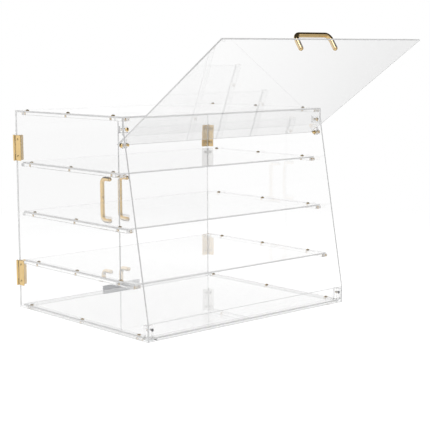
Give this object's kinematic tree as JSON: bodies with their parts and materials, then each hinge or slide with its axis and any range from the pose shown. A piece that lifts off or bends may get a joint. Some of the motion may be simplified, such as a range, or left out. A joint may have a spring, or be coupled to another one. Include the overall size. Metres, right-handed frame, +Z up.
{
  "type": "countertop display case",
  "caption": "Clear sheet display case for a shop counter, with shelves, a sloped front lid that swings up and hinged rear doors.",
  "frame": {"origin": "on the counter, under the middle of the case's width and depth", "axes": "+X to the right as seen from the front, the sloped front faces -Y, +Z up"},
  "size_m": [0.5362, 0.6577, 0.5604],
  "materials": {
    "clear_sheet": "clear cast acrylic sheet, polished edges",
    "clear_block": "clear acrylic rail or block, sawn and polished",
    "gold_metal": "polished gold-coloured plating",
    "dark_steel": "dark oxide",
    "plain_steel": "plain steel, slightly dull",
    "soft_rubber": "milky clear soft rubber"
  },
  "bodies": {
    "case": {"left_side_panel": "clear_sheet", "right_side_panel": "clear_sheet", "top_panel": "clear_sheet", "bottom_panel": "clear_sheet", "header_panel": "clear_sheet", "front_lip": "clear_sheet", "upper_shelf": "clear_sheet", "middle_shelf": "clear_sheet", "lower_shelf": "clear_sheet", "top_panel_rails": "clear_block", "upper_shelf_rails": "clear_block", "middle_shelf_rails": "clear_block", "lower_shelf_rails": "clear_block", "bottom_panel_rails": "clear_block", "bottom_cross_rails": "clear_block", "header_blocks": "clear_block", "front_lip_blocks": "clear_block", "threaded_inserts": "gold_metal", "top_panel_screws": "gold_metal", "upper_shelf_screws": "gold_metal", "middle_shelf_screws": "gold_metal", "lower_shelf_screws": "gold_metal", "bottom_panel_screws": "gold_metal", "header_screws": "gold_metal", "front_lip_screws": "dark_steel", "feet": "soft_rubber", "door_strike_plate": "plain_steel", "left_upper_hinge_case_leaf": "gold_metal", "left_lower_hinge_case_leaf": "gold_metal", "right_upper_hinge_case_leaf": "gold_metal", "right_lower_hinge_case_leaf": "gold_metal", "left_hinge_pins": "gold_metal", "right_hinge_pins": "gold_metal", "left_hinge_case_screws": "gold_metal", "right_hinge_case_screws": "gold_metal", "left_hinge_case_nuts": "gold_metal", "right_hinge_case_nuts": "gold_metal", "lid_pivot_screws": "gold_metal", "lid_pivot_nuts": "gold_metal", "lid_pivot_washers": "soft_rubber"},
    "left_door": {"left_door": "clear_sheet", "left_upper_hinge_door_leaf": "gold_metal", "left_lower_hinge_door_leaf": "gold_metal", "left_hinge_door_screws": "gold_metal", "left_hinge_door_nuts": "gold_metal", "left_door_handle": "gold_metal", "left_door_handle_screws": "gold_metal", "left_door_magnet": "plain_steel"},
    "right_door": {"right_door": "clear_sheet", "right_upper_hinge_door_leaf": "gold_metal", "right_lower_hinge_door_leaf": "gold_metal", "right_hinge_door_screws": "gold_metal", "right_hinge_door_nuts": "gold_metal", "right_door_handle": "gold_metal", "right_door_handle_screws": "gold_metal", "right_door_magnet": "plain_steel"},
    "lid": {"lid": "clear_sheet", "lid_hinge_lugs": "clear_block", "lid_handle": "gold_metal", "lid_handle_screws": "gold_metal"}
  },
  "joints": [
    {"name": "lid_hinge", "type": "hinge", "parent": "case", "child": "lid", "pos_m": [0, -0.14126, 0.35705], "axis": [-1, 0, 0], "range_deg": [-113, 7]},
    {"name": "left_door_hinge", "type": "hinge", "parent": "case", "child": "left_door", "pos_m": [-0.2658, 0.2156, 0.203], "axis": [0, 0, 1], "range_deg": [0, 250]},
    {"name": "right_door_hinge", "type": "hinge", "parent": "case", "child": "right_door", "pos_m": [0.2658, 0.2156, 0.203], "axis": [0, 0, -1], "range_deg": [0, 250]}
  ]
}
